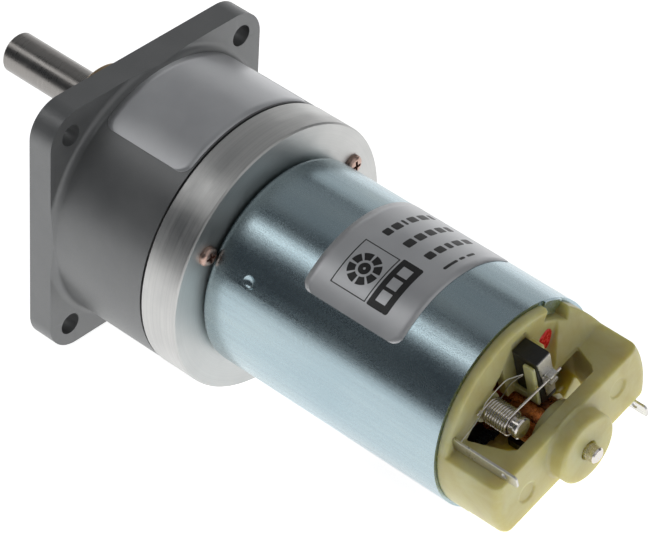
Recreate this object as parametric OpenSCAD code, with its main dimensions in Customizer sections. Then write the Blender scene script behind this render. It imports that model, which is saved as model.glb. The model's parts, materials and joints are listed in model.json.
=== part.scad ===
// Geared dc motor: spur gearhead with an offset output shaft, brushed
// permanent-magnet motor and an open nylon brush cap.
// +X points out of the output shaft, +Z is up. The origin is the centre of the
// mounting flange's front face. Distances written "s" run rearward from there.

/* [Flange] */
// Side of the square mounting flange
flange_w = 53; // [52.8:0.1:54]
// Flange thickness
flange_t = 5.3; // [4.5:0.1:6]
// Corner radius of the flange
flange_r = 6.5; // [5:0.5:7]
// Mounting hole spacing, both ways
hole_pitch = 43; // [42:0.5:43.5]
// Mounting hole diameter
hole_d = 4.3; // [4:0.1:4.5]

/* [Gearbox] */
// Diameter of the gearbox body
body_d = 52.6; // [52.2:0.1:52.6]
// Rear end of the cast body
body_s = 27.4; // [27.2:0.1:27.4]
// Diameter of the machined rear plate
plate_d = 52.8; // [52:0.2:53]
// Rear face of the machined plate
plate_s = 35.9; // [35.5:0.1:36]
// Pitch radius of the three plate screws
screw_pr = 21.5; // [21.3:0.1:21.7]

/* [Output] */
// Output shaft diameter
shaft_d = 8; // [7.9:0.05:8]
// Free length of the output shaft in front of the flange
shaft_len = 30.9; // [25:0.1:40]
// Offset of the output shaft above the motor axis
offset_z = 9.8; // [9.8:0.1:9.8]
// Outside diameter of the bronze bush
bush_d = 16; // [14:0.5:16]
// How far the bush stands in front of the flange
bush_len = 9.6; // [6:0.2:12]

/* [Motor] */
// Outside diameter of the motor can
can_d = 40.5; // [40.5:0.1:41]
// Rear edge of the motor can
can_s = 90.8; // [90.8:0.1:90.8]
// Wall thickness of the can
can_t = 1.6; // [1.2:0.1:1.7]
// Motor shaft diameter
motor_shaft_d = 3; // [2.9:0.05:3]
// Rear tip of the motor shaft
motor_tip_s = 109.8; // [108.5:0.1:111]

/* [Brush cap] */
// Rear face of the cap's disc
disc_s = 92.8; // [92.6:0.1:93]
// Half width of the bridge
bridge_hw = 6.3; // [6:0.1:6.4]
// Rear face of the bridge
bridge_s = 104.2; // [104:0.1:104.4]
// Radius of the rear bearing boss
boss_r = 6.66; // [6.4:0.02:6.8]
// Rear face of the boss
boss_s = 107.7; // [107:0.1:108]
// Angle of the bridge about the motor axis
bridge_a = -17; // [-17:1:-17]

/* [Hidden] */
$fn = 96;

e = 0.01;
body_r = body_d / 2;
plate_r = plate_d / 2;
can_r = can_d / 2;
can_ri = can_r - can_t;
plate_f = 27.7;              // front face of the rear plate
cav_s = 8.5;                 // front end of the gear cavity
cav_r = 24;                  // radius of the gear cavity
screw_angles = [30, 150, 270];
journal_r = shaft_d / 2 - 0.25; // the shaft runs in the bush on a journal behind a shoulder

// gear train: A is the motor axis, B and C are the arbors, O the output axis
stage_1 = [0.5, 10, 30];     // module, pinion teeth, gear teeth
stage_2 = [0.6, 14, 43];
stage_3 = [0.6, 14, 43];
stage_4 = [0.8, 11, 32];
function centres(g) = g[0] * (g[1] + g[2]) / 2;
a1 = centres(stage_1);
a2 = centres(stage_2);
a4 = centres(stage_4);
b_z = (offset_z * offset_z - a4 * a4 + a1 * a1) / (2 * offset_z);
B = [sqrt(a1 * a1 - b_z * b_z), b_z];
C = [B[0] - a2, b_z];
A = [0, 0];
O = [0, offset_z];
function dir(p, q) = atan2(q[1] - p[1], q[0] - p[0]);

arbor_r = 1.25;

// ---------- helpers ----------
module tube_x(s0, s1, r, p = [0, 0]) {
  translate([-s1, p[0], p[1]]) rotate([0, 90, 0]) cylinder(h = s1 - s0, r = r);
}
module ring_x(s0, s1, r, ri, p = [0, 0]) {
  difference() { tube_x(s0, s1, r, p); tube_x(s0 - 1, s1 + 1, ri, p); }
}
// a shape drawn in (y, z) and extruded along the axis from s0 to s1
module flat_x(s0, s1) {
  translate([-s1, 0, 0]) rotate([90, 0, 90]) linear_extrude(s1 - s0) children();
}
// a profile drawn in (radius, -s) and turned about the motor axis
module turned(a = 360) { rotate([90, 0, 90]) rotate_extrude(angle = a) children(); }
// the brush cap's own frame: x along the bridge, y across it, z forward
module cap_frame() { rotate([90, 0, 90]) rotate([0, 0, bridge_a]) children(); }
module cap_box(t0, t1, n0, n1, s0, s1) {
  cap_frame() translate([t0, n0, -s1]) cube([t1 - t0, n1 - n0, s1 - s0]);
}
module cap_rod(t, n, s0, s1, r) {
  cap_frame() translate([t, n, -s1]) cylinder(h = s1 - s0, r = r);
}
module side(k) { rotate([180 * k, 0, 0]) children(); }

module rounded_square(w, r) {
  union() {
    square([w - 2 * r, w], center = true);
    square([w, w - 2 * r], center = true);
    for (y = [-1, 1], z = [-1, 1]) translate([y * (w / 2 - r), z * (w / 2 - r)]) circle(r);
  }
}

// spur gear outline: 25 degree involute teeth, shortened tips, a little backlash
pa = 25;
function inv(a) = tan(a) * 180 / PI - a;
function flank(m, z, r, play) = let (rp = m * z / 2, rb = rp * cos(pa),
    ra = max(r, rb), al = acos(min(1, rb / ra)))
    90 / z - play / 2 / rp * 180 / PI + inv(pa) - inv(al);
module gear_2d(m, z, rot, play = 0.05) {
  rp = m * z / 2; rb = rp * cos(pa); rt = rp + 0.85 * m; rf = rp - 1.15 * m;
  lo = max(rb, rf + 0.05);
  rr = [rf, lo, (lo + rp) / 2 + 0.02, (rp + rt) / 2, rt];
  polygon([for (k = [0 : z - 1]) let (c = rot + 360 * k / z) each concat(
    [for (i = [0 : 4]) let (h = flank(m, z, rr[i], play)) [rr[i] * cos(c - h), rr[i] * sin(c - h)]],
    [for (i = [4 : -1 : 0]) let (h = flank(m, z, rr[i], play)) [rr[i] * cos(c + h), rr[i] * sin(c + h)]])]);
}
module gear_x(s0, s1, m, z, rot, p) {
  translate([0, p[0], p[1]]) flat_x(s0, s1) gear_2d(m, z, rot);
}

// ---------- gearbox ----------
module gearbox_housing() color([0.42, 0.43, 0.44]) {
  difference() {
    union() {
      flat_x(0, flange_t) rounded_square(flange_w, flange_r);
      tube_x(flange_t - 1, body_s, body_r);
      intersection() {
        turned() polygon([[20, -flange_t + 0.5], [body_r + 1.5, -flange_t + 0.5], [body_r + 1.5, -flange_t],
          for (a = [0 : 15 : 90]) [body_r + 1.5 - 1.5 * sin(a), -flange_t - 1.5 + 1.5 * cos(a)],
          [20, -flange_t - 1.5]]);
        flat_x(flange_t - 2, flange_t + 3) rounded_square(flange_w, flange_r);
      }
    }
    // gear cavity, leaving a boss for each plate screw
    difference() {
      tube_x(cav_s, body_s + 1, cav_r);
      for (a = screw_angles) tube_x(cav_s - 1, body_s + 2, 3.4, screw_pr * [cos(a), sin(a)]);
    }
    for (a = screw_angles) tube_x(14, body_s + 1, 1.27, screw_pr * [cos(a), sin(a)]);
    for (y = [-1, 1], z = [-1, 1]) tube_x(-1, flange_t + 1, hole_d / 2, hole_pitch / 2 * [y, z]);
    // seats for the output bush and the arbors
    tube_x(-1, cav_s + 1, bush_d / 2 + e, O);
    tube_x(4.5, cav_s + 1, arbor_r + e, B);
    tube_x(4.5, cav_s + 1, arbor_r + e, C);
  }
}

module output_bush() color([0.66, 0.42, 0.2]) {
  difference() {
    union() {
      tube_x(-bush_len + 0.6, cav_s, bush_d / 2, O);
      translate([bush_len - 0.6, 0, offset_z]) rotate([0, 90, 0]) cylinder(h = 0.6, r1 = bush_d / 2, r2 = bush_d / 2 - 0.6);
    }
    tube_x(-bush_len - 1, cav_s + 1, journal_r + 0.02, O);
  }
}

module output_shaft() color([0.72, 0.73, 0.74]) {
  difference() {
    union() {
      tube_x(-shaft_len + 0.5, -bush_len - 0.2, shaft_d / 2, O);
      tube_x(-bush_len - 0.3, 15.75, journal_r, O);
      translate([shaft_len - 0.5, 0, offset_z]) rotate([0, 90, 0]) cylinder(h = 0.5, r1 = shaft_d / 2, r2 = shaft_d / 2 - 0.5);
    }
    difference() { tube_x(15.05, 15.55, 6, O); tube_x(14, 16, journal_r - 0.35, O); }
  }
}

module output_gear() color([0.6, 0.6, 0.58]) {
  difference() {
    gear_x(10, 15, stage_4[0], stage_4[2], dir(B, O) + 180 + 180 / stage_4[2], O);
    tube_x(9, 16, journal_r + e, O);
    ring_x(9, 10.8, 11, 6.2, O);
    ring_x(14.2, 16, 11, 6.2, O);
  }
}
module thrust_washer() color([0.75, 0.72, 0.62]) ring_x(8.8, 9.7, 6.8, journal_r + 0.08, O);
module shaft_retaining_ring() color([0.3, 0.3, 0.32]) {
  difference() {
    ring_x(15.1, 15.5, 4.9, journal_r - 0.3, O);
    translate([-16, -1.1, offset_z + 1]) cube([2, 2.2, 6]);
  }
}
module gearbox_gasket() color([0.12, 0.12, 0.12]) ring_x(body_s + e, plate_f - e, body_r - 0.45, 24.1);

module rear_plate() color([0.78, 0.79, 0.78]) {
  difference() {
    union() {
      tube_x(plate_f + 0.3, plate_s - 0.3, plate_r);
      translate([-plate_f - 0.3, 0, 0]) rotate([0, 90, 0]) cylinder(h = 0.3, r1 = plate_r, r2 = plate_r - 0.3);
      translate([-plate_s, 0, 0]) rotate([0, 90, 0]) cylinder(h = 0.3, r1 = plate_r - 0.3, r2 = plate_r);
    }
    tube_x(plate_f - 1, plate_s + 1, 6.6);
    for (a = screw_angles) tube_x(plate_f - 1, plate_s + 1, 1.6, screw_pr * [cos(a), sin(a)]);
    for (p = [B, C]) tube_x(plate_f - 1, 32, arbor_r + e, p);
    for (z = [-1, 1]) {
      tube_x(plate_f - 1, plate_s + 1, 1.6, [0, 12.5 * z]);
      tube_x(plate_f - 1, 31, 3, [0, 12.5 * z]);
    }
  }
}

module cross_slot(s, depth, w, l, p) {
  translate([-s - 2, p[0], p[1]]) for (a = [0, 90]) rotate([a, 0, 0])
    translate([0, -l / 2, -w / 2]) cube([2 + depth, l, w]);
}
// domed head whose top is at s1, shank running forward
module screw(s0, seat, s1, r, head_r, p) {
  h = s1 - seat;
  translate([0, p[0], p[1]]) difference() {
    union() {
      tube_x(s0, seat + 0.2, r);
      turned() polygon([[0, -seat], [head_r, -seat], [head_r, -seat - 0.35 * h],
        [head_r * 0.93, -seat - 0.62 * h], [head_r * 0.75, -seat - 0.86 * h], [head_r * 0.45, -s1], [0, -s1]]);
    }
    cross_slot(s1 - 0.6, 0.6, 0.55, head_r * 1.15, [0, 0]);
  }
}
module plate_screws() color([0.72, 0.55, 0.48])
  for (a = screw_angles) screw(16, plate_s + e, plate_s + 1.15, 1.25, 1.9, screw_pr * [cos(a), sin(a)]);
module motor_mount_screws() color([0.6, 0.6, 0.6])
  for (z = [-1, 1]) translate([0, 0, 12.5 * z]) difference() {
    union() { tube_x(29, 37.4, 1.4); tube_x(28.6, 31 - e, 2.7); }
    cross_slot(25.9, 3.5, 0.7, 3, [0, 0]);
  }

module arbor_b() color([0.7, 0.7, 0.72]) tube_x(4.6, 31.8, arbor_r, B);
module arbor_c() color([0.7, 0.7, 0.72]) tube_x(4.6, 31.8, arbor_r, C);

module gear_cluster_1() color([0.74, 0.62, 0.3]) {
  difference() {
    union() {
      gear_x(23.4, 26.4, stage_1[0], stage_1[2], dir(A, B) + 180 + 180 / stage_1[2], B);
      gear_x(19.4, 23.5, stage_2[0], stage_2[1], dir(B, C), B);
    }
    tube_x(18, 28, arbor_r + 0.04, B);
  }
}
module gear_cluster_2() color([0.66, 0.66, 0.64]) {
  difference() {
    union() {
      gear_x(19.9, 22.9, stage_2[0], stage_2[2], dir(B, C) + 180 + 180 / stage_2[2], C);
      gear_x(15.4, 20, stage_3[0], stage_3[1], dir(C, B), C);
    }
    tube_x(14, 24, arbor_r + 0.04, C);
    ring_x(21.9, 24, 10.6, 5, C);
  }
}
module gear_cluster_3() color([0.66, 0.66, 0.64]) {
  difference() {
    union() {
      gear_x(16, 19, stage_3[0], stage_3[2], dir(C, B) + 180 + 180 / stage_3[2], B);
      gear_x(9.5, 16.1, stage_4[0], stage_4[1], dir(B, O), B);
    }
    tube_x(8, 20, arbor_r + 0.04, B);
    ring_x(18, 20, 10.6, 5, B);
  }
}
module spacer_washers() color([0.8, 0.78, 0.7]) {
  ring_x(26.6, 27.5, 2.6, arbor_r + 0.05, B);
  ring_x(8.6, 9.3, 2.6, arbor_r + 0.05, B);
}
module spacer_sleeve_front() color([0.8, 0.78, 0.7]) ring_x(8.6, 15.2, 2.1, arbor_r + 0.05, C);
module spacer_sleeve_rear() color([0.8, 0.78, 0.7]) ring_x(23.1, 27.5, 2.1, arbor_r + 0.05, C);

// ---------- motor ----------
ms_r = motor_shaft_d / 2;
module motor_pinion() color([0.75, 0.65, 0.32]) {
  difference() {
    gear_x(23.3, 27.6, stage_1[0], stage_1[1], dir(A, B), A);
    tube_x(22, 29, ms_r - 0.49);
  }
}
module motor_shaft() color([0.6, 0.6, 0.6]) {
  union() {
    tube_x(23.4, 29, ms_r - 0.5);
    tube_x(28, motor_tip_s - 0.3, ms_r);
    translate([-motor_tip_s, 0, 0]) rotate([0, 90, 0]) cylinder(h = 0.3, r1 = ms_r - 0.3, r2 = ms_r);
    tube_x(43, 86, 2.2);
  }
}
core_r = 11.9;
slots = 10;
module armature_core() color([0.5, 0.51, 0.53]) {
  difference() {
    tube_x(47, 77, core_r);
    tube_x(46, 78, 2.21);
    for (k = [0 : slots - 1]) rotate([36 * k, 0, 0]) {
      tube_x(46, 78, 1.75, [8.6, 0]);
      translate([-78, 8.6, -0.7]) cube([32, 5, 1.4]);
    }
  }
}
module armature_windings() color([0.72, 0.33, 0.14]) {
  for (k = [0 : slots - 1]) rotate([36 * k, 0, 0]) tube_x(45.5, 78.5, 1.65, [8.6, 0]);
  difference() {
    union() { tube_x(42.6, 46.6, 10.4); tube_x(77.4, 83.6, 10.6); }
    tube_x(40, 86, 4.2);
    translate([-43.6, 0, 0]) rotate([0, 90, 0]) difference() { translate([0, 0, -2]) cylinder(h = 3, r = 14); translate([0, 0, -1.01]) cylinder(h = 2.02, r1 = 9.2, r2 = 10.4); }
    translate([-84.6, 0, 0]) rotate([0, 90, 0]) difference() { translate([0, 0, -1]) cylinder(h = 3, r = 14); cylinder(h = 2.01, r1 = 8.6, r2 = 10.6); }
  }
}
com_r = 4.6;
module commutator_core() color([0.35, 0.2, 0.12]) {
  difference() { union() { tube_x(86.3, 99.4, 3.3); tube_x(86.3, 87.4, 5.4); } tube_x(85, 101, ms_r + 0.01); }
}
module commutator_segments() color([0.75, 0.4, 0.2]) {
  for (k = [0 : slots - 1]) rotate([36 * k + 18, 0, 0]) difference() {
    intersection() {
      union() { ring_x(87.6, 99, com_r, 3.35); ring_x(87.6, 89.2, 6.1, 3.35); }
      translate([-100, 0, 0]) rotate([90, 0, 90]) linear_extrude(15)
        polygon([[0, 0], [9 * cos(16.8), -9 * sin(16.8)], [9 * cos(16.8), 9 * sin(16.8)]]);
    }
  }
}

module motor_can() color([0.62, 0.7, 0.74]) {
  difference() {
    turned() polygon([
      [0, -36], [0, -33], [6.5, -33], [6.5, -35.9], [can_r - 2.2, -35.92],
      for (a = [15 : 15 : 75]) [can_r - 2.2 + 2.2 * sin(a), -38.1 + 2.2 * cos(a)],
      [can_r, -38.1], [can_r, -can_s], [can_ri, -can_s], [can_ri, -38.6],
      [can_ri - 0.9, -37.5], [7.6, -37.5], [6.6, -38.4], [6.6, -39.2], [0, -39.2]]);
    tube_x(32, 40, 4.41);
    for (z = [-1, 1]) tube_x(35, 40, 1.41, [0, 12.5 * z]);
    // pressed locating dimple
    rotate([28.5, 0, 0]) translate([-45.2, can_r + 1.15, 0]) sphere(r = 1.75);
    rotate([208.5, 0, 0]) translate([-45.2, can_r + 1.15, 0]) sphere(r = 1.75);
  }
  // staked tabs folded over the cap
  for (k = [0, 1]) rotate([180 * k + 113, 0, 0]) intersection() {
    ring_x(can_s - 0.4, can_s + 0.55, can_r - 0.05, 17.4);
    translate([-can_s - 2, 0, 0]) rotate([90, 0, 90]) linear_extrude(4)
      polygon([[16, -0.7], [19, -2.3], [21, -2.6], [21, 2.6], [19, 2.3], [16, 0.7]]);
  }
}

module magnet_arc(a) {
  rotate([a - 64, 0, 0]) turned(128) polygon([[12.55, -44], [can_ri - 0.05, -44], [can_ri - 0.05, -80], [12.55, -80]]);
}
module magnet_upper() color([0.2, 0.2, 0.21]) magnet_arc(73);
module magnet_lower() color([0.2, 0.2, 0.21]) magnet_arc(253);
module magnet_clips() color([0.6, 0.6, 0.6])
  for (k = [0, 1]) rotate([180 * k - 17, 0, 0]) difference() {
    rotate([-17, 0, 0]) turned(34) polygon([[16.8, -44.6], [18.4, -44.6], [18.4, -80.6], [16.8, -80.6]]);
    rotate([-13, 0, 0]) turned(26) polygon([[16, -43], [19.4, -43], [19.4, -79.6], [16, -79.6]]);
  }
module front_bearing() color([0.6, 0.45, 0.28]) ring_x(33.4, 39, 4.4, ms_r + 0.03);
module rear_bearing() color([0.6, 0.45, 0.28]) ring_x(101.6, 106.6, 3.6, ms_r + 0.03);

// ---------- brush cap ----------
post_t = 7; post_n = 8;
brush_t0 = -4.15; brush_t1 = -0.65;
brush_s0 = 92.4; brush_s1 = 97.6;
brush_n = 15.5;
module window_2d() {
  polygon([[13.4, 5.6], [9.3, 8.8], [3.4, 12.6], [-0.4, 16.4], [-4.4, 16.4], [-4.9, 12.4],
    [-5.4, 5.4], [-12.6, 5.0], [-12.6, -1], [0, -1], [13.4, -1]]);
}
module cap_half_body() {
  // guide walls beside the brush, and the low wall that ties them to the leg
  cap_box(-5.2, -4.4, 6.4, 14.6, 90.6, 95.6);
  cap_box(-13.4, -4.5, 5.2, 6.5, 90.6, 95.7);
  // rail beside the brush's rear edge, on a pillar at its inner end
  cap_box(-0.42, 0.3, 4.95, 14.7, 95.3, 97.7);
  cap_box(-0.42, 0.3, 4.95, 6.7, 90.3, 97.6);
  // floor under the brush and the spring post's seat
  cap_box(-5.2, 2, 4.95, 16.9, 90.2, 92.2);
  cap_rod(post_t, post_n, 88.4, 92.6, 2.9);
  cap_box(4.6, 12, 7, 9, 89.4, 91.6);
  // web from the post's seat to the plug ring
  cap_box(6.2, 16, 5.5, 9.2, 88.3, 89.2);
  // ramp that runs up from the disc to the leg's foot
  intersection() {
    cap_frame() translate([0, 0, -97]) linear_extrude(5) polygon([[-20, 5.2], [-5.6, 5.2], [-6.7, 6.4], [-12.3, 13.3], [-20, 13.3]]);
    cap_frame() translate([-20, 0, 0]) rotate([90, 0, 90]) linear_extrude(16)
      polygon([[5.2, -92.2], [5.2, -95.68], [6.5, -95.68], [13.3, -92.6], [13.3, -92.2]]);
    turned() polygon([[0, -90], [19.64, -90], [19.64, -98], [0, -98]]);
  }
}
module brush_cap() color([0.86, 0.85, 0.68]) {
  difference() {
    union() {
      // plug ring inside the can, and the disc that closes it
      ring_x(86, can_s + 0.1, can_ri - 0.1, 15.6);
      difference() {
        turned() polygon([[0, -can_s + 1.2], [18, -can_s + 1.2], [18, -can_s - 0.02], [19.66, -can_s - 0.02], [19.66, -disc_s + 0.5],
          [19.16, -disc_s], [0, -disc_s]]);
        for (k = [0, 1]) side(k) flat_x(88, 94) rotate(bridge_a) window_2d();
      }
      // bridge and its two legs
      intersection() {
        cap_frame() translate([0, bridge_hw, 0]) rotate([90, 0, 0]) linear_extrude(2 * bridge_hw)
          polygon([[20, -disc_s + 0.4], [20, -bridge_s], [-20, -bridge_s], [-20, -disc_s + 0.4], [-13.6, -disc_s + 0.4],
            [-10.9, -100], [-9.9, -101.1], [9.9, -101.1], [10.9, -100], [13.6, -disc_s + 0.4]]);
        turned() polygon([[0, -90], [19.64, -90], [19.64, -bridge_s + 1.6], [19.45, -bridge_s + 0.9], [18.95, -bridge_s + 0.3], [18.2, -bridge_s], [0, -bridge_s - e]]);
      }
      tube_x(99.2, 102, 5.4);
      turned() polygon([[0, -bridge_s + 0.4], [boss_r + 0.5, -bridge_s + 0.4], [boss_r + 0.5, -bridge_s], [boss_r, -bridge_s - 0.5],
        [boss_r, -boss_s + 0.6], [boss_r - 0.18, -boss_s + 0.18], [boss_r - 0.6, -boss_s], [0, -boss_s]]);
      for (k = [0, 1]) side(k) cap_half_body();
    }
    tube_x(98, 110, ms_r + 0.3);
    tube_x(98, 106.62, 3.61);
    for (k = [0, 1]) side(k) {
      // slot for the terminal, seat for the post, notch for the staked tab
      cap_box(15.5, 16.2, 6.45, 9.4, 84, 95);
      cap_rod(post_t, post_n, 80, 100, 1.02);
      rotate([113, 0, 0]) translate([-can_s - 3, 17.1, -3]) cube([3.5, 5, 6]);
      // shallow round sink on the bridge, near each end
      cap_rod(12.2, -1.2, bridge_s - 0.35, bridge_s + 1, 2);
      // the brush's travel through the guide
      cap_box(brush_t0 - 0.12, brush_t1 + 0.12, 4, 17.2, brush_s0 - 0.1, 99);
    }
  }
}

module brush() {
  difference() {
    cap_box(brush_t0, brush_t1, 4.3, brush_n, brush_s0, brush_s1);
    tube_x(90, 100, com_r + 0.06);
  }
}
module brush_a() color([0.1, 0.1, 0.11]) brush();
module brush_b() color([0.1, 0.1, 0.11]) side(1) brush();

// tinned strip on the brush's rear face, with the fork that holds the spring's arm
module brush_clip() {
  difference() {
    union() {
      cap_frame() translate([0, 0, -brush_s1 - 0.3]) linear_extrude(0.28)
        polygon([[-0.75, 15.3], [-4.05, 15.3], [-4.05, 8.4], [-3.8, 5.8], [-1.7, 5.8], [-1.35, 10.6]]);
      cap_box(-3.95, -2.1, 9.05, 9.65, brush_s1 + 0.2, brush_s1 + 1.35);
      cap_box(-3.95, -2.1, 10.75, 11.35, brush_s1 + 0.2, brush_s1 + 1.5);
    }
    cap_rod(-1.75, 11.6, 97, 99, 0.28);
  }
}
module brush_clip_a() color([0.82, 0.82, 0.8]) brush_clip();
module brush_clip_b() color([0.82, 0.82, 0.8]) side(1) brush_clip();

// torsion spring: close turns round the post, one long arm to the fork, one short leg
wire_r = 0.25;
coil_r = 2.22;
turns = 10;
first_s = 93.15;
last_s = 98.05;
module spring_body() {
  for (k = [0 : turns - 1]) cap_frame() translate([post_t, post_n, -first_s - (last_s - first_s) * k / (turns - 1)])
    rotate_extrude() translate([coil_r, 0]) circle(r = wire_r + 0.01, $fn = 24);
  // bar that joins the turns, on the side away from the brush
  cap_rod(post_t + coil_r, post_n, first_s, last_s, 0.16);
  // long arm to the fork
  cap_frame() translate([post_t, post_n + coil_r, -last_s]) rotate([0, -91.5, 0]) cylinder(h = 12.3, r = wire_r);
  // short leg that bears on the cap
  cap_frame() translate([post_t, post_n + coil_r, -first_s - 0.13]) rotate([0, 90, 0]) cylinder(h = 3.4, r = wire_r);
}
module brush_spring_a() color([0.8, 0.78, 0.75]) spring_body();
module brush_spring_b() color([0.8, 0.78, 0.75]) side(1) spring_body();

module spring_post() {
  cap_rod(post_t, post_n, 87.4, 93, 1);
  cap_rod(post_t, post_n, 92.65, 98.4, 1.8);
  cap_rod(post_t, post_n, 98.3, 99.5, 1.6);
  cap_rod(post_t, post_n, 99.3, 100, 2);
  cap_frame() translate([post_t, post_n, -100.25]) cylinder(h = 0.26, r1 = 1.74, r2 = 2);
}
module spring_post_a() color([0.75, 0.73, 0.7]) spring_post();
module spring_post_b() color([0.75, 0.73, 0.7]) side(1) spring_post();

module terminal() {
  difference() {
    cap_frame() translate([15.62, 0, 0]) rotate([90, 0, 90]) linear_extrude(0.46)
      polygon([[6.55, -88], [6.55, -106.1], [6.95, -106.5], [8.95, -106.5], [9.3, -106.1], [9.3, -88]]);
    cap_frame() translate([14, 7.92, -103.8]) rotate([0, 90, 0]) cylinder(h = 4, r = 0.6);
  }
}
module terminal_a() color([0.72, 0.71, 0.68]) terminal();
module terminal_b() color([0.72, 0.71, 0.68]) side(1) terminal();

// thin lead from beside the brush to the spring post
module lead() {
  cap_frame() translate([0.65, 12.9, -95.9]) rotate([0, 0, -42]) rotate([0, 86, 0]) cylinder(h = 4.5, r = 0.19);
}
module brush_lead_a() color([0.75, 0.6, 0.4]) lead();
module brush_lead_b() color([0.75, 0.6, 0.4]) side(1) lead();

// ---------- labels ----------
module gearbox_label() color([0.75, 0.75, 0.75])
  rotate([54.5, 0, 0]) turned(73.5) polygon([[body_r + 0.02, -6.9], [body_r + 0.1, -6.9], [body_r + 0.1, -27.2], [body_r + 0.02, -27.2]]);
module motor_label() color([0.66, 0.67, 0.68])
  rotate([40.7, 0, 0]) turned(92) polygon([[can_r + 0.02, -55], [can_r + 0.1, -55], [can_r + 0.1, -77.3], [can_r + 0.02, -77.3]]);
module lower_label() color([0.2, 0.2, 0.2])
  rotate([-128, 0, 0]) turned(80) polygon([[can_r + 0.02, -57.5], [can_r + 0.12, -57.5], [can_r + 0.12, -84.5], [can_r + 0.02, -84.5]]);

gearbox_housing();
output_bush();
output_shaft();
output_gear();
thrust_washer();
shaft_retaining_ring();
gearbox_gasket();
rear_plate();
plate_screws();
motor_mount_screws();
arbor_b();
arbor_c();
gear_cluster_1();
gear_cluster_2();
gear_cluster_3();
spacer_washers();
spacer_sleeve_front();
spacer_sleeve_rear();
motor_pinion();
motor_shaft();
armature_core();
armature_windings();
commutator_core();
commutator_segments();
motor_can();
magnet_upper();
magnet_lower();
magnet_clips();
front_bearing();
rear_bearing();
brush_cap();
brush_a();
brush_b();
brush_clip_a();
brush_clip_b();
brush_spring_a();
brush_spring_b();
spring_post_a();
spring_post_b();
terminal_a();
terminal_b();
brush_lead_a();
brush_lead_b();
gearbox_label();
motor_label();
lower_label();
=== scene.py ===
import json
import math

import bmesh
import bpy
import numpy as np
from mathutils import Matrix, Vector


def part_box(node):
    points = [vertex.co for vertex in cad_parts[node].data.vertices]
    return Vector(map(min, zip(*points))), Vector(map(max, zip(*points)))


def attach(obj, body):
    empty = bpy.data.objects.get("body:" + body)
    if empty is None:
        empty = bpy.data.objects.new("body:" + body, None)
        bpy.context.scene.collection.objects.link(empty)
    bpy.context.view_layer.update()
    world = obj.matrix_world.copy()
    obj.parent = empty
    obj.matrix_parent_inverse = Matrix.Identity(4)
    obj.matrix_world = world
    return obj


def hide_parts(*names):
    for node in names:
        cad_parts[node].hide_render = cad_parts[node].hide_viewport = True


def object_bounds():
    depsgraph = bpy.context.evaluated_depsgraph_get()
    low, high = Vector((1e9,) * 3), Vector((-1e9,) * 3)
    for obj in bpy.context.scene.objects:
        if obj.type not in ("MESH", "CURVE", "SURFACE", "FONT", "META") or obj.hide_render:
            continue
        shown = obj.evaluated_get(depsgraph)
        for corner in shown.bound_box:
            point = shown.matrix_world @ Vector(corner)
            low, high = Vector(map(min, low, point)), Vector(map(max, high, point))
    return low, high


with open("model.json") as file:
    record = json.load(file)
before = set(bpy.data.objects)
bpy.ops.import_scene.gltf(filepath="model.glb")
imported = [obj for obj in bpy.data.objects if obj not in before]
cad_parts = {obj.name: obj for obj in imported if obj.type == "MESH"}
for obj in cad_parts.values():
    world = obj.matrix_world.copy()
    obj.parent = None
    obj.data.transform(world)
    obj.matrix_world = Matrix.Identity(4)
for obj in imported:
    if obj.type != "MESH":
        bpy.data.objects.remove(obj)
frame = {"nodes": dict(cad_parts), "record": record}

CAD_BOUNDS = [list(v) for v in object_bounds()]
NODES = frame["nodes"]
SLOT = {p["node"]: p["material_slot"] for p in frame["record"]["subparts"]}
BODY = {n: b for b, ns in frame["record"]["behaviour"]["bodies"].items() for n in ns}
ROOT = BODY["motor_can"]
MM = 0.001

# ------------------------------------------------------------------ cap frame
BRIDGE = math.radians(-17)
T_DIR = (math.cos(BRIDGE), math.sin(BRIDGE))
N_DIR = (-math.sin(BRIDGE), math.cos(BRIDGE))


def cap_point(t, n, s, k=0):
    """Millimetres in the brush cap's own directions to metres in the row frame; k=1 is the other side."""
    y, z = t * T_DIR[0] + n * N_DIR[0], t * T_DIR[1] + n * N_DIR[1]
    sign = -1 if k else 1
    return Vector((-s * MM, sign * y * MM, sign * z * MM))


def round_point(s, theta, r):
    """A point on a cylinder about the motor axis: distance behind the flange, angle in degrees, radius."""
    a = math.radians(theta)
    return Vector((-s * MM, r * math.cos(a) * MM, r * math.sin(a) * MM))


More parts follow.
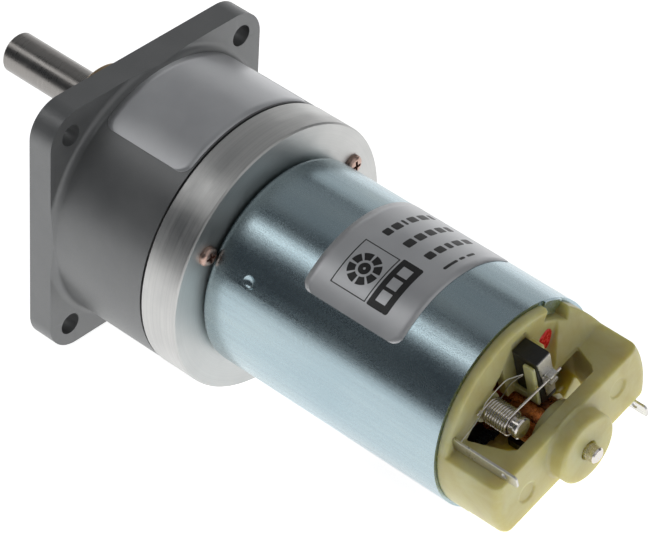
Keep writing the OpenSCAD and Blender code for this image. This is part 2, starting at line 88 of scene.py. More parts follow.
# ------------------------------------------------------------------ node helpers
class Mat:
    """A small builder round one procedural material."""

    def __init__(self, name):
        self.m = bpy.data.materials.new(name)
        self.m.use_nodes = True
        self.t = self.m.node_tree
        self.t.nodes.clear()
        self.out = self.t.nodes.new("ShaderNodeOutputMaterial")
        self.b = self.t.nodes.new("ShaderNodeBsdfPrincipled")
        self.t.links.new(self.b.outputs[0], self.out.inputs[0])
        self.co = self.t.nodes.new("ShaderNodeTexCoord").outputs["Object"]

    def link(self, a, b):
        self.t.links.new(a, b)
        return self

    def set(self, **k):
        for n, v in k.items():
            self.b.inputs[n.replace("_", " ")].default_value = v
        return self

    def stretched(self, scale, loc=(0, 0, 0), rot=(0, 0, 0)):
        n = self.t.nodes.new("ShaderNodeMapping")
        n.inputs["Scale"].default_value = scale
        n.inputs["Location"].default_value = loc
        n.inputs["Rotation"].default_value = rot
        self.link(self.co, n.inputs["Vector"])
        return n.outputs[0]

    def rings(self, along, across):
        """Coordinates made of the place along X and the distance from the motor axis, so noise runs in turned rings."""
        sep = self.t.nodes.new("ShaderNodeSeparateXYZ")
        self.link(self.co, sep.inputs[0])
        yz = self.t.nodes.new("ShaderNodeCombineXYZ")
        self.link(sep.outputs[1], yz.inputs[1]).link(sep.outputs[2], yz.inputs[2])
        ln = self.t.nodes.new("ShaderNodeVectorMath")
        ln.operation = "LENGTH"
        self.link(yz.outputs[0], ln.inputs[0])
        com = self.t.nodes.new("ShaderNodeCombineXYZ")
        self.link(self.math("MULTIPLY", sep.outputs[0], along), com.inputs[0])
        self.link(self.math("MULTIPLY", ln.outputs["Value"], across), com.inputs[1])
        return com.outputs[0]

    def math(self, op, a, b, clamp=False):
        n = self.t.nodes.new("ShaderNodeMath")
        n.operation = op
        n.use_clamp = clamp
        for i, v in enumerate((a, b)):
            if isinstance(v, (int, float)):
                n.inputs[i].default_value = v
            else:
                self.link(v, n.inputs[i])
        return n.outputs[0]

    def noise(self, scale, detail=4, rough=0.6, co=None, distort=0.0):
        n = self.t.nodes.new("ShaderNodeTexNoise")
        n.inputs["Scale"].default_value = scale
        n.inputs["Detail"].default_value = detail
        n.inputs["Roughness"].default_value = rough
        n.inputs["Distortion"].default_value = distort
        self.link(co or self.co, n.inputs["Vector"])
        return n.outputs["Fac"]

    def cells(self, scale, co=None):
        n = self.t.nodes.new("ShaderNodeTexVoronoi")
        n.inputs["Scale"].default_value = scale
        self.link(co or self.co, n.inputs["Vector"])
        return n.outputs["Distance"]

    def spread(self, fac, lo, hi, a=0.0, b=1.0):
        n = self.t.nodes.new("ShaderNodeMapRange")
        n.inputs["From Min"].default_value = lo
        n.inputs["From Max"].default_value = hi
        n.inputs["To Min"].default_value = a
        n.inputs["To Max"].default_value = b
        self.link(fac, n.inputs["Value"])
        return n.outputs["Result"]

    def ramp(self, fac, stops):
        n = self.t.nodes.new("ShaderNodeValToRGB")
        e = n.color_ramp.elements
        while len(e) < len(stops):
            e.new(0.5)
        for el, (p, c) in zip(e, stops):
            el.position = p
            el.color = (*c, 1)
        self.link(fac, n.inputs["Fac"])
        return n.outputs["Color"]

    def mix(self, fac, a, b, mode="MIX"):
        n = self.t.nodes.new("ShaderNodeMix")
        n.data_type = "RGBA"
        n.blend_type = mode
        for sock, v in ((n.inputs[0], fac), (n.inputs[6], a), (n.inputs[7], b)):
            if isinstance(v, (int, float)):
                sock.default_value = v
            elif isinstance(v, tuple):
                sock.default_value = (*v, 1)
            else:
                self.link(v, sock)
        return n.outputs[2]

    def color(self, v):
        self.link(v, self.b.inputs["Base Color"])
        return self

    def rough(self, v):
        self.link(v, self.b.inputs["Roughness"])
        return self

    def bump(self, *layers):
        """layers of (height, distance in metres, strength)"""
        last = None
        for h, d, s in layers:
            n = self.t.nodes.new("ShaderNodeBump")
            n.inputs["Strength"].default_value = s
            n.inputs["Distance"].default_value = d
            self.link(h, n.inputs["Height"])
            if last is not None:
                self.link(last, n.inputs["Normal"])
            last = n.outputs["Normal"]
        self.link(last, self.b.inputs["Normal"])
        return self


def m_zinc():
    m = Mat("zinc_plate")
    m.set(Metallic=1.0)
    cloud = m.noise(1, 5, 0.6, m.stretched((28, 110, 110)))
    streak = m.noise(1, 6, 0.7, m.stretched((35, 900, 900)))
    speck = m.noise(6500, 3, 0.6)
    base = m.ramp(cloud, [(0.3, (0.37, 0.48, 0.525)), (0.55, (0.43, 0.535, 0.57)), (0.75, (0.46, 0.55, 0.555))])
    base = m.mix(m.spread(streak, 0.35, 0.7, 0.0, 0.35), base, (0.33, 0.42, 0.48))
    base = m.mix(m.spread(speck, 0.55, 0.72, 0.0, 0.35), base, (0.62, 0.72, 0.74))
    m.color(base)
    r = m.math("ADD", m.spread(cloud, 0.3, 0.7, 0.19, 0.27), m.spread(speck, 0.3, 0.7, -0.05, 0.09))
    m.rough(m.math("ADD", r, m.spread(streak, 0.4, 0.7, 0.0, 0.05)))
    m.bump((m.noise(5200, 3, 0.7), 0.00002, 0.35), (m.noise(900, 3, 0.5), 0.00003, 0.12), (streak, 0.00002, 0.25))
    return m.m


def m_cast():
    m = Mat("cast_grey_satin")
    m.set(Metallic=0.5)
    cloud = m.noise(90, 5, 0.55)
    fine = m.noise(3800, 4, 0.65)
    base = m.ramp(cloud, [(0.3, (0.195, 0.198, 0.2)), (0.7, (0.235, 0.238, 0.238))])
    rub = m.noise(420, 6, 0.75, distort=1.2)
    base = m.mix(m.spread(rub, 0.66, 0.8, 0.0, 0.45), base, (0.36, 0.36, 0.36))
    m.color(base)
    m.rough(m.math("ADD", m.spread(cloud, 0.3, 0.7, 0.36, 0.45), m.spread(fine, 0.3, 0.7, -0.05, 0.07)))
    m.bump((fine, 0.00003, 0.35), (m.cells(2400), 0.00002, 0.2))
    return m.m


def m_turned():
    m = Mat("turned_aluminium")
    m.set(Metallic=1.0, Anisotropic=0.35)
    lines = m.noise(1, 3, 0.6, m.rings(9000, 9000))
    broad = m.noise(1, 2, 0.5, m.rings(900, 900))
    blot = m.noise(160, 5, 0.6)
    base = m.ramp(lines, [(0.3, (0.50, 0.50, 0.49)), (0.7, (0.63, 0.625, 0.61))])
    base = m.mix(m.spread(blot, 0.45, 0.75, 0.0, 0.4), base, (0.52, 0.525, 0.52))
    m.color(base)
    m.rough(m.math("ADD", m.spread(lines, 0.3, 0.7, 0.33, 0.46), m.spread(blot, 0.3, 0.7, -0.03, 0.07)))
    m.bump((lines, 0.00003, 0.5), (broad, 0.00004, 0.25))
    return m.m


def m_nylon():
    m = Mat("natural_nylon")
    m.set(Metallic=0.0, IOR=1.53)
    m.b.inputs["Subsurface Weight"].default_value = 0.8
    m.b.inputs["Subsurface Radius"].default_value = (1.0, 0.88, 0.3)
    m.b.inputs["Subsurface Scale"].default_value = 0.005
    cloud = m.noise(140, 4, 0.55, distort=0.6)
    flow = m.noise(1, 4, 0.6, m.stretched((60, 400, 400)))
    base = m.ramp(cloud, [(0.28, (0.55, 0.475, 0.18)), (0.5, (0.61, 0.555, 0.245)), (0.72, (0.66, 0.63, 0.33))])
    base = m.mix(m.spread(flow, 0.5, 0.75, 0.0, 0.35), base, (0.67, 0.64, 0.37))
    dirt = m.noise(1500, 5, 0.7)
    base = m.mix(m.spread(dirt, 0.7, 0.82, 0.0, 0.3), base, (0.34, 0.29, 0.13))
    m.color(base)
    m.rough(m.math("ADD", m.spread(cloud, 0.3, 0.7, 0.3, 0.4), m.spread(dirt, 0.4, 0.8, 0.0, 0.1)))
    m.bump((m.noise(2600, 3, 0.5), 0.00003, 0.25), (m.noise(450, 2, 0.5), 0.00008, 0.2))
    return m.m


def m_metal(name, lo, hi, r0, r1, grain, bump=0.25, metallic=1.0, axis_scale=None, tarnish=None):
    m = Mat(name)
    m.set(Metallic=metallic)
    co = m.stretched(axis_scale) if axis_scale else None
    g = m.noise(1 if axis_scale else grain, 4, 0.65, co)
    blot = m.noise(260, 5, 0.6, distort=0.5)
    base = m.ramp(g, [(0.3, lo), (0.7, hi)])
    if tarnish:
        base = m.mix(m.spread(blot, 0.5, 0.75, 0.0, 0.6), base, tarnish)
    m.color(base)
    m.rough(m.math("ADD", m.spread(g, 0.3, 0.7, r0, r1), m.spread(blot, 0.3, 0.7, -0.03, 0.06)))
    m.bump((g, 0.00002, bump))
    return m.m


def m_plain(name, lo, hi, r0, r1, grain, bump=0.3, spot=None):
    m = Mat(name)
    m.set(Metallic=0.0)
    g = m.noise(grain, 5, 0.65)
    broad = m.noise(grain * 0.07, 4, 0.6)
    base = m.ramp(broad, [(0.3, lo), (0.7, hi)])
    if spot:
        base = m.mix(m.spread(g, 0.6, 0.75, 0.0, 0.7), base, spot)
    m.color(base)
    m.rough(m.spread(g, 0.3, 0.7, r0, r1))
    m.bump((g, 0.00003, bump))
    return m.m


def m_film(name, lo, hi):
    m = Mat(name)
    m.set(Metallic=0.55)
    m.b.inputs["Coat Weight"].default_value = 0.15
    m.b.inputs["Coat Roughness"].default_value = 0.3
    g = m.noise(4200, 3, 0.6)
    broad = m.noise(120, 4, 0.5)
    base = m.ramp(broad, [(0.3, lo), (0.7, hi)])
    rub = m.noise(700, 6, 0.75, distort=1.0)
    base = m.mix(m.spread(rub, 0.68, 0.8, 0.0, 0.25), base, (0.62, 0.63, 0.64))
    m.color(base)
    m.rough(m.math("ADD", m.spread(broad, 0.3, 0.7, 0.34, 0.42), m.spread(g, 0.3, 0.7, -0.04, 0.05)))
    m.bump((g, 0.00002, 0.2), (broad, 0.00012, 0.12))
    return m.m


def m_print():
    m = Mat("label_print")
    m.set(Metallic=0.0)
    g = m.noise(5200, 4, 0.7)
    m.color(m.ramp(g, [(0.35, (0.008, 0.008, 0.009)), (0.72, (0.028, 0.027, 0.026))]))
    m.rough(m.spread(g, 0.3, 0.7, 0.3, 0.5))
    m.bump((g, 0.00001, 0.2))
    return m.m


def m_ink():
    m = Mat("marker_ink")
    m.set(Metallic=0.35)
    g = m.noise(1800, 5, 0.7)
    m.color(m.ramp(g, [(0.3, (0.01, 0.008, 0.03)), (0.7, (0.06, 0.07, 0.14))]))
    m.rough(m.spread(g, 0.3, 0.7, 0.25, 0.5))
    m.bump((g, 0.00001, 0.2))
    return m.m


def m_paint():
    m = Mat("red_paint")
    m.set(Metallic=0.0)
    g = m.noise(1700, 4, 0.6)
    m.color(m.ramp(g, [(0.3, (0.42, 0.008, 0.012)), (0.55, (0.78, 0.015, 0.02)), (0.8, (0.85, 0.10, 0.08))]))
    m.rough(m.spread(g, 0.3, 0.7, 0.16, 0.36))
    m.bump((g, 0.00006, 0.6))
    return m.m


MATS = {
    "cast_grey": m_cast(),
    "bronze": m_metal("sintered_bronze", (0.28, 0.2, 0.11), (0.42, 0.32, 0.2), 0.34, 0.48, 4200, 0.5, tarnish=(0.28, 0.2, 0.12)),
    "ground_steel": m_metal("ground_steel", (0.25, 0.237, 0.225), (0.33, 0.315, 0.3), 0.24, 0.33, 1, 0.2, axis_scale=(9000, 260, 260), tarnish=(0.33, 0.31, 0.29)),
    "gear_steel": m_metal("hobbed_steel", (0.34, 0.34, 0.34), (0.5, 0.5, 0.49), 0.28, 0.4, 2600, 0.3),
    "gear_brass": m_metal("hobbed_brass", (0.55, 0.38, 0.13), (0.75, 0.56, 0.24), 0.25, 0.38, 2600, 0.3),
    "black_steel": m_metal("blackened_steel", (0.03, 0.03, 0.032), (0.07, 0.07, 0.075), 0.3, 0.5, 2600, 0.3, metallic=0.8),
    "gasket": m_plain("gasket", (0.012, 0.012, 0.012), (0.03, 0.03, 0.03), 0.5, 0.8, 2200),
    "machined_aluminium": m_turned(),
    "screw_copper": m_metal("copper_flash", (0.42, 0.27, 0.22), (0.66, 0.48, 0.41), 0.24, 0.38, 3200, 0.35, tarnish=(0.45, 0.42, 0.4)),
    "zinc_steel": m_zinc(),
    "ferrite": m_plain("ferrite", (0.03, 0.03, 0.032), (0.07, 0.07, 0.075), 0.45, 0.65, 1800),
    "lamination": m_metal("lamination", (0.12, 0.12, 0.13), (0.3, 0.3, 0.31), 0.35, 0.5, 1, 0.6, axis_scale=(14000, 200, 200)),
    "copper": m_metal("copper", (0.30, 0.09, 0.03), (0.62, 0.22, 0.09), 0.2, 0.36, 1500, 0.4, tarnish=(0.22, 0.08, 0.03)),
    "phenolic": m_plain("phenolic", (0.06, 0.025, 0.01), (0.13, 0.06, 0.03), 0.4, 0.6, 1800),
    "nylon": m_nylon(),
    "carbon": m_plain("graphite", (0.006, 0.006, 0.006), (0.022, 0.021, 0.02), 0.36, 0.6, 3600, 0.5, spot=(0.05, 0.048, 0.045)),
    "nickel": m_metal("nickel", (0.66, 0.62, 0.58), (0.78, 0.74, 0.70), 0.2, 0.27, 3600, 0.1, tarnish=(0.62, 0.58, 0.54)),
    "tin": m_metal("tinned_strip", (0.64, 0.62, 0.59), (0.78, 0.77, 0.74), 0.26, 0.36, 2400, 0.12, tarnish=(0.58, 0.55, 0.5)),
    "washer": m_plain("acetal", (0.55, 0.5, 0.38), (0.68, 0.63, 0.5), 0.35, 0.5, 2200),
    "label_silver": m_film("label_film", (0.57, 0.575, 0.59), (0.65, 0.655, 0.665)),
    "label_dark": m_plain("dark_film", (0.02, 0.02, 0.022), (0.045, 0.045, 0.047), 0.35, 0.5, 2600, 0.2),
}
M_PRINT, M_INK, M_RED = m_print(), m_ink(), m_paint()

for name, obj in NODES.items():
    obj.data.materials.clear()
    obj.data.materials.append(MATS[SLOT[name]])


NODES["motor_shaft"].data.materials[0] = MATS["nickel"]


def soften(name, width, segments=3, angle=32):
    """Small real edge radii on a CAD node, by modifier."""
    o = NODES[name]
    w = o.modifiers.new("weld", "WELD")
    w.merge_threshold = 2e-7
    b = o.modifiers.new("edge", "BEVEL")
    b.width = width * MM
    b.segments = segments
    b.limit_method = "ANGLE"
    b.angle_limit = math.radians(angle)
    b.use_clamp_overlap = True
    b.harden_normals = False
    n = o.modifiers.new("normals", "WEIGHTED_NORMAL")
    n.keep_sharp = False
    for p in o.data.polygons:
        p.use_smooth = True


# ------------------------------------------------------------------ mesh helpers
def make(name, verts, faces, mat, body=ROOT, smooth=True):
    me = bpy.data.meshes.new(name)
    me.from_pydata([tuple(v) for v in verts], [], faces)
    bm = bmesh.new()
    bm.from_mesh(me)
    bmesh.ops.remove_doubles(bm, verts=bm.verts, dist=1e-7)
    bmesh.ops.recalc_face_normals(bm, faces=bm.faces)
    bm.to_mesh(me)
    bm.free()
    for p in me.polygons:
        p.use_smooth = smooth
    me.materials.append(mat)
    o = bpy.data.objects.new(name, me)
    bpy.context.scene.collection.objects.link(o)
    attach(o, body)
    return o


def sheet_on(r_in, r_out, s0, s1, a0, a1, corner, du=0.25, dv=1.5, rise=0.0):
    """Closed rounded rectangle wrapped on a cylinder of the motor axis. Corner in mm; a0, a1 in degrees."""
    u0, u1 = math.radians(a0) * r_out, math.radians(a1) * r_out
    us = [u0, u1]
    c = min(corner, (u1 - u0) / 2, (s1 - s0) / 2)
    if c > 0:
        for i in range(1, 9):
            d = c * (1 - math.cos(math.pi / 2 * i / 8))
            us += [u0 + d, u1 - d]
    k = max(2, int((u1 - u0) / du))
    us += [u0 + (u1 - u0) * i / k for i in range(k + 1)]
    us = sorted(set(round(u, 6) for u in us))
    nv = max(2, int((s1 - s0) / dv))
    verts, faces = [], []

    def trim(u):
        d = min(u - u0, u1 - u)
        if d >= c:
            return 0.0
        return c - math.sqrt(max(0.0, c * c - (c - d) ** 2))

    rows = []
    for u in us:
        t = trim(u)
        th = math.degrees(u / r_out)
        row = []
        for j in range(nv + 1):
            s = (s0 + t) + (s1 - s0 - 2 * t) * j / nv
            row.append((s, th))
        rows.append(row)
    top = [[len(verts) + j for j in range(nv + 1)] for _ in [0]]
    idx = []
    for row in rows:
        idx.append([])
        for s, th in row:
            idx[-1].append(len(verts))
            verts.append(round_point(s, th, r_out))
    low = []
    for row in rows:
        low.append([])
        for s, th in row:
            low[-1].append(len(verts))
            verts.append(round_point(s, th, r_in))
    for i in range(len(rows) - 1):
        for j in range(nv):
            faces.append((idx[i][j], idx[i + 1][j], idx[i + 1][j + 1], idx[i][j + 1]))
            faces.append((low[i][j], low[i][j + 1], low[i + 1][j + 1], low[i + 1][j]))
        faces.append((idx[i][0], low[i][0], low[i + 1][0], idx[i + 1][0]))
        faces.append((idx[i][nv], idx[i + 1][nv], low[i + 1][nv], low[i][nv]))
    for j in range(nv):
        faces.append((idx[0][j], idx[0][j + 1], low[0][j + 1], low[0][j]))
        faces.append((idx[-1][j], low[-1][j], low[-1][j + 1], idx[-1][j + 1]))
    return verts, faces


def joined(parts):
    verts, faces = [], []
    for v, f in parts:
        k = len(verts)
        verts += v
        faces += [tuple(i + k for i in x) for x in f]
    return verts, faces


def tube(points, radius, seg=14):
    """Round wire along points in metres, capped with small domes."""
    pts = [Vector(p) for p in points]
    verts, faces = [], []
    t0 = (pts[1] - pts[0]).normalized()
    up = Vector((0, 0, 1)) if abs(t0.z) < 0.9 else Vector((1, 0, 0))
    x = t0.cross(up).normalized()
    rings = []
    prev = t0
    n = len(pts)
    spec = []
    for i, p in enumerate(pts):
        t = (pts[min(i + 1, n - 1)] - pts[max(i - 1, 0)]).normalized()
        q = prev.rotation_difference(t)
        x = (q @ x).normalized()
        prev = t
        y = t.cross(x).normalized()
        spec.append((p, t, x.copy(), y))
    def ring(p, x, y, r):
        k = len(verts)
        for j in range(seg):
            a = 2 * math.pi * j / seg
            verts.append(p + (x * math.cos(a) + y * math.sin(a)) * r)
        return list(range(k, k + seg))
    p, t, x0, y0 = spec[0]
    for a in (75, 45, 20):
        rings.append(ring(p - t * radius * math.sin(math.radians(a)) * 0.6, x0, y0, radius * math.cos(math.radians(a))))
    for p, t, x0, y0 in spec:
        rings.append(ring(p, x0, y0, radius))
    for a in (20, 45, 75):
        rings.append(ring(p + t * radius * math.sin(math.radians(a)) * 0.6, x0, y0, radius * math.cos(math.radians(a))))
    for a, b in zip(rings, rings[1:]):
        for j in range(seg):
            faces.append((a[j], a[(j + 1) % seg], b[(j + 1) % seg], b[j]))
    faces.append(tuple(reversed(rings[0])))
    faces.append(tuple(rings[-1]))
    return verts, faces


# ------------------------------------------------------------------ moulded cap: softened, voxel-built copy
def remeshed(node, name, voxel, passes, factor=0.5, body=ROOT):
    src = NODES[node]
    me = src.data.copy()
    me.name = name
    o = bpy.data.objects.new(name, me)
    bpy.context.scene.collection.objects.link(o)
    bm = bmesh.new()
    bm.from_mesh(me)
    bmesh.ops.remove_doubles(bm, verts=bm.verts, dist=2e-7)
    bm.to_mesh(me)
    bm.free()
    r = o.modifiers.new("voxel", "REMESH")
    r.mode = "VOXEL"
    r.voxel_size = voxel * MM
    r.adaptivity = 0.0
    s = o.modifiers.new("soft", "SMOOTH")
    s.factor = factor
    s.iterations = passes
    dg = bpy.context.evaluated_depsgraph_get()
    dg.update()
    done = bpy.data.meshes.new_from_object(o.evaluated_get(dg))
    done.name = name
    o.modifiers.clear()
    o.data = done
    for p in done.polygons:
        p.use_smooth = True
    done.materials.clear()
    done.materials.append(MATS[SLOT[node]])
    lo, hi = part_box(node)
    co = np.empty(len(done.vertices) * 3, np.float32)
    done.vertices.foreach_get("co", co)
    co = np.clip(co.reshape(-1, 3), np.array(lo), np.array(hi))
    done.vertices.foreach_set("co", co.ravel().astype(np.float32))
    done.update()
    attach(o, body)
    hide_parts(node)
    return o


cap = remeshed("brush_cap", "moulded_cap", 0.17, 8)

# ------------------------------------------------------------------ labels
CAN_R, BODY_R = 20.25, 26.3
v, f = sheet_on(CAN_R + 0.02, CAN_R + 0.1, 55, 77.3, 40.7, 132.6, 2.0)
lab = make("can_label_film", v, f, MATS["label_silver"])
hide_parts("motor_label")
v, f = sheet_on(BODY_R + 0.02, BODY_R + 0.1, 6.95, 27.15, 54.5, 127.9, 2.2)
glab = make("gearbox_label_film", v, f, MATS["label_silver"])
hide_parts("gearbox_label")
v, f = sheet_on(CAN_R + 0.02, CAN_R + 0.1, 57.5, 84.5, -128, -48, 2.0)
low_lab = make("lower_label_film", v, f, MATS["label_dark"])
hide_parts("lower_label")

PR0, PR1 = CAN_R + 0.095, CAN_R + 0.115


def ink(s0, s1, a0, a1, c=0.25):
    return sheet_on(PR0, PR1, s0, s1, a0, a1, c, du=0.4, dv=3)


prints = []
# thin frame round the pictogram
for s0, s1, a0, a1 in ((59.3, 59.52, 50.6, 78.4), (67.0, 67.22, 50.6, 78.4), (59.3, 67.22, 50.6, 51.15), (59.3, 67.22, 77.85, 78.4)):
    prints.append(ink(s0, s1, a0, a1, 0.05))
# solid block under it, with an open slot for three plain bars
prints += [ink(67.6, 68.7, 50.4, 79.8, 0.3), ink(70.9, 72.2, 50.4, 79.8, 0.5)]
for a0, a1 in ((50.4, 54.2), (60.6, 62.6), (68.6, 70.6), (76.2, 79.8)):
    prints.append(ink(68.5, 71.1, a0, a1, 0.1))
# pictogram: a ring of eight plain blocks round a solid hub, as a rotor is drawn
HUB_S, HUB_A = 63.25, 64.5


def disc_print(rad0, rad1, b0=0.0, b1=360.0):
    """Flat ring sector on the label, drawn as a fine closed band."""
    verts, faces = [], []
    k = max(8, int((b1 - b0) / 6))
    full = b1 - b0 >= 359.9
    for lvl in (PR1, PR0):
        for i in range(k + (0 if full else 1)):
            b = math.radians(b0 + (b1 - b0) * i / k)
            for rad in (rad0, rad1):
                verts.append(round_point(HUB_S + rad * math.cos(b), HUB_A + math.degrees(rad * math.sin(b) / CAN_R), lvl))
    cnt = k if full else k + 1
    half = cnt * 2
    for i in range(k):
        a, b = i, (i + 1) % cnt
        faces.append((2 * a, 2 * b, 2 * b + 1, 2 * a + 1))
        faces.append((half + 2 * a, half + 2 * a + 1, half + 2 * b + 1, half + 2 * b))
        faces.append((2 * a + 1, 2 * b + 1, half + 2 * b + 1, half + 2 * a + 1))
        faces.append((2 * a, half + 2 * a, half + 2 * b, 2 * b))
    if not full:
        faces.append((0, 1, half + 1, half))
        e = 2 * k
        faces.append((e, half + e, half + e + 1, e + 1))
    return verts, faces


prints.append(disc_print(0.25, 1.15))
for i in range(8):
    prints.append(disc_print(1.65, 3.15, 45 * i + 5, 45 * i + 40))
# rows of plain bars where a data label has its lines
rows = (
    (59.7, 62.2, ((86.6, 91.4), (93.0, 98.6), (100.4, 102.2), (104.4, 110.2), (112.4, 119.0), (121.0, 124.5))),
    (64.3, 66.9, ((87.0, 93.2), (95.0, 100.8), (102.8, 108.4), (110.4, 116.0), (118.0, 122.5))),
    (69.0, 71.5, ((87.4, 92.8), (94.6, 100.2), (102.2, 105.6), (107.8, 113.6), (115.6, 121.5))),
    (73.8, 74.7, ((87.0, 97.0), (98.6, 102.4), (104.2, 110.0))),
)
for s0, s1, bars in rows:
    for i, (a0, a1) in enumerate(bars):
        prints.append(ink(s0 + 0.5 * (s1 - s0) * 0.35, s1 - 0.5 * (s1 - s0) * 0.35, a0, a1, 0.3))
v, f = joined(prints)
make("can_label_print", v, f, M_PRINT, smooth=False)

# ------------------------------------------------------------------ springs, leads
POST_T, POST_N, COIL_R, WIRE = 7.0, 8.0, 2.22, 0.25
S_FIRST, S_LAST, TURNS = 93.28, 98.05, 10


def spring_path(k):
    pts = []
    # short leg that bears on the cap
    for i in range(5):
        pts.append(cap_point(POST_T + 3.3 * (1 - i / 4.0), POST_N + COIL_R, S_FIRST, k))
    n = int((TURNS - 1) * 48)
    for i in range(1, n + 1):
        a = math.radians(90 + 360.0 * i / 48)
        pts.append(cap_point(POST_T + COIL_R * math.cos(a), POST_N + COIL_R * math.sin(a), S_FIRST + (S_LAST - S_FIRST) * i / n, k))
    for i in range(1, 26):
        d = 12.25 * i / 25.0
        pts.append(cap_point(POST_T - 0.99966 * d, POST_N + COIL_R, S_LAST + 0.0262 * d, k))
    return pts


for k, tag in ((0, "a"), (1, "b")):
    v, f = tube(spring_path(k), WIRE * MM)
    o = make("spring_wire_" + tag, v, f, MATS["nickel"], body=BODY["brush_spring_" + tag])
    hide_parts("brush_spring_" + tag)
    # two fine lead wires: one round the post to the terminal, one down to the post's seat
    strands = []
    for way in (((0.62, 12.7, 95.5), (1.9, 12.6, 94.6), (3.6, 12.3, 93.7), (7.9, 11.1, 93.3), (9.4, 10.7, 93.75), (11.2, 9.4, 93.6), (13.2, 8.4, 93.4), (15.25, 7.9, 93.35)),
                ((0.62, 12.2, 95.3), (1.3, 10.9, 94.2), (2.2, 9.2, 93.1), (3.5, 7.4, 92.6), (4.7, 7.2, 92.42), (5.9, 7.6, 92.42))):
        pts = []
        for i in range(len(way) - 1):
            q = [Vector(way[min(max(i + d, 0), len(way) - 1)]) for d in (-1, 0, 1, 2)]
            for j in range(8):
                u = j / 8.0
                w = 0.5 * (2 * q[1] + (q[2] - q[0]) * u + (2 * q[0] - 5 * q[1] + 4 * q[2] - q[3]) * u * u + (3 * q[1] - q[0] - 3 * q[2] + q[3]) * u ** 3)
                pts.append(cap_point(w[0], w[1], w[2], k))
        pts.append(cap_point(*way[-1], k))
        strands.append(tube(pts, 0.11 * MM, 10))
    v, f = joined(strands)
    o = make("lead_strands_" + tag, v, f, MATS["tin"])
    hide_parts("brush_lead_" + tag)

# ------------------------------------------------------------------ paint mark
def blob(name, points, normal, height, mat, rings=5, n=None):
    """Low domed spot over an outline of points, standing along normal."""
    c = sum(points, Vector()) / len(points)
    verts, faces = [], []
    for i in range(rings + 1):
        u = 1 - i / (rings + 0.35)
        h = height * (1 - u ** 3)
        for p in points:
            verts.append(c + (p - c) * u + normal * h)
    k = len(points)
    for i in range(rings):
        for j in range(k):
            faces.append((i * k + j, i * k + (j + 1) % k, (i + 1) * k + (j + 1) % k, (i + 1) * k + j))
    faces.append(tuple(range(rings * k, rings * k + k)))
    base = len(verts)
    for p in points:
        verts.append(p - normal * 0.00004)
    for j in range(k):
        faces.append((base + j, base + (j + 1) % k, (j + 1) % k, j))
    faces.append(tuple(reversed(range(base, base + k))))
    return make(name, verts, faces, mat)


def wobble(i, k, seed):
    rng = np.random.RandomState(seed)
    ph = rng.uniform(0, 2 * math.pi, 4)
    am = rng.uniform(0.04, 0.11, 4)
    a = 2 * math.pi * i / k
    return 1 + sum(am[q] * math.sin((q + 2) * a + ph[q]) for q in range(4))


PAINT_T, PAINT_N = -8.25, 10.5
pts = []
for i in range(44):
    a = 2 * math.pi * i / 44
    w = wobble(i, 44, 7)
    pts.append(cap_point(PAINT_T + (2.25 * math.cos(a) * math.cos(1.25) - 1.75 * math.sin(a) * math.sin(1.25)) * w,
                         PAINT_N + (2.25 * math.cos(a) * math.sin(1.25) + 1.75 * math.sin(a) * math.cos(1.25)) * w, 92.8))
blob("paint_spot", pts, Vector((-1, 0, 0)), 0.00009, M_RED)

# ------------------------------------------------------------------ edges on the CAD nodes that show
for name, w in (("gearbox_housing", 0.28), ("output_bush", 0.2), ("output_shaft", 0.12), ("rear_plate", 0.1), ("terminal_a", 0.06), ("terminal_b", 0.06),
                ("spring_post_a", 0.12), ("spring_post_b", 0.12), ("brush_a", 0.1), ("brush_b", 0.1), ("brush_clip_a", 0.05), ("brush_clip_b", 0.05),
                ("motor_shaft", 0.08), ("plate_screws", 0.06), ("motor_can", 0.1)):
    soften(name, w)

# ------------------------------------------------------------------ floor, light, camera
FLOOR_Z = CAD_BOUNDS[0][2] - 0.00005
n = 8
verts, faces = [], []
for i in range(n + 1):
    for j in range(n + 1):
        verts.append(Vector((-3 + 6 * i / n, -3 + 3.32 * j / n, FLOOR_Z)))
for i in range(n):
    for j in range(n):
        a = i * (n + 1) + j
        faces.append((a, a + n + 1, a + n + 2, a + 1))
me = bpy.data.meshes.new("floor")
me.from_pydata([tuple(v) for v in verts], [], faces)
fm = Mat("pale_floor")
fm.set(Metallic=0.0)
fm.color(fm.ramp(fm.noise(3, 3, 0.5), [(0.3, (0.93, 0.93, 0.93)), (0.7, (0.95, 0.95, 0.95))]))
fm.b.inputs["Roughness"].default_value = 0.7
fm.b.inputs["Emission Color"].default_value = (1, 1, 1, 1)
fm.b.inputs["Emission Strength"].default_value = 0.88
me.materials.append(fm.m)
floor = bpy.data.objects.new("floor", me)
bpy.context.scene.collection.objects.link(floor)

centre = Vector((-0.045, 0, 0))


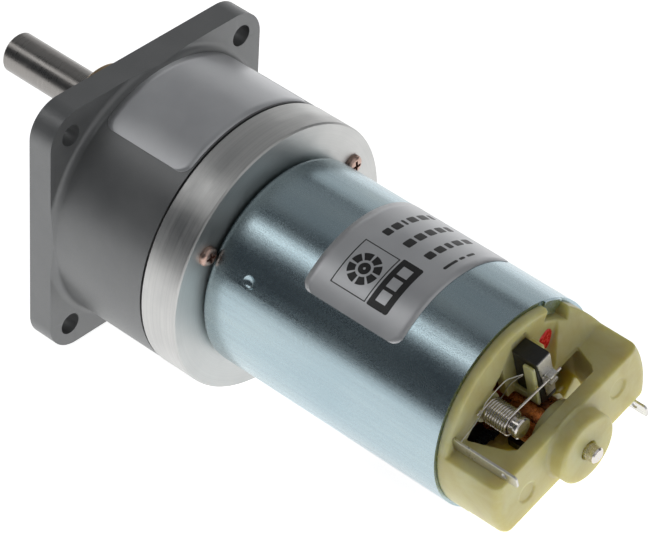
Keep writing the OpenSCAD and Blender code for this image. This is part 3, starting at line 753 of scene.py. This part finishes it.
def softbox(name, direction, distance, size, radiance, at=centre, colour=(1, 1, 1), along=(1, 0, 0)):
    """A plain rectangular studio light; size is (along, across), radiance its surface brightness."""
    d = Vector(direction).normalized()
    x = Vector(along)
    x = (x - x.dot(d) * d).normalized()
    y = d.cross(x)
    light = bpy.data.lights.new(name, "AREA")
    light.shape = "RECTANGLE"
    light.size, light.size_y = size
    light.energy = radiance * math.pi * size[0] * size[1]
    light.color = colour
    o = bpy.data.objects.new(name, light)
    m4 = Matrix.Identity(4)
    for i in range(3):
        m4[i][0], m4[i][1], m4[i][2] = x[i], y[i], d[i]
    m4.translation = at + d * distance
    o.matrix_world = m4
    bpy.context.scene.collection.objects.link(o)
    return o


softbox("strip_high", (0.51, 0.43, 0.75), 0.9, (1.5, 0.2), 1.6)
softbox("side_far", (0.45, -0.85, 0.27), 1.2, (1.9, 0.75), 0.62)
softbox("rear_fill", (-0.85, -0.15, 0.5), 1.2, (1.5, 1.5), 0.5, along=(0, 1, 0))
softbox("top_soft", (0.3, -0.35, 0.9), 1.2, (1.6, 0.9), 0.24)

world = bpy.data.worlds.new("studio")
world.use_nodes = True
bg = world.node_tree.nodes["Background"]
bg.inputs[0].default_value = (0.82, 0.9, 1.0, 1)
bg.inputs[1].default_value = 0.06
bpy.context.scene.world = world
bpy.context.scene.view_settings.view_transform = "Standard"

cam_data = bpy.data.cameras.new("camera")
cam_data.sensor_width = 36
cam_data.lens = 212.38
cam_data.clip_start, cam_data.clip_end = 0.01, 50
cam = bpy.data.objects.new("camera", cam_data)
right = Vector((-0.73383, -0.677776, 0.045965))
down = Vector((-0.455846, 0.441118, -0.773058))
fwd = Vector((0.503685, -0.588246, -0.632667))
right.normalize()
fwd = (fwd - fwd.dot(right) * right).normalized()
down = fwd.cross(right)
m = Matrix.Identity(4)
for i in range(3):
    m[i][0], m[i][1], m[i][2] = right[i], -down[i], -fwd[i]
m[0][3], m[1][3], m[2][3] = -0.38634, 0.39621, 0.42996
cam.matrix_world = m
bpy.context.scene.collection.objects.link(cam)
bpy.context.scene.camera = cam

bpy.context.view_layer.update()
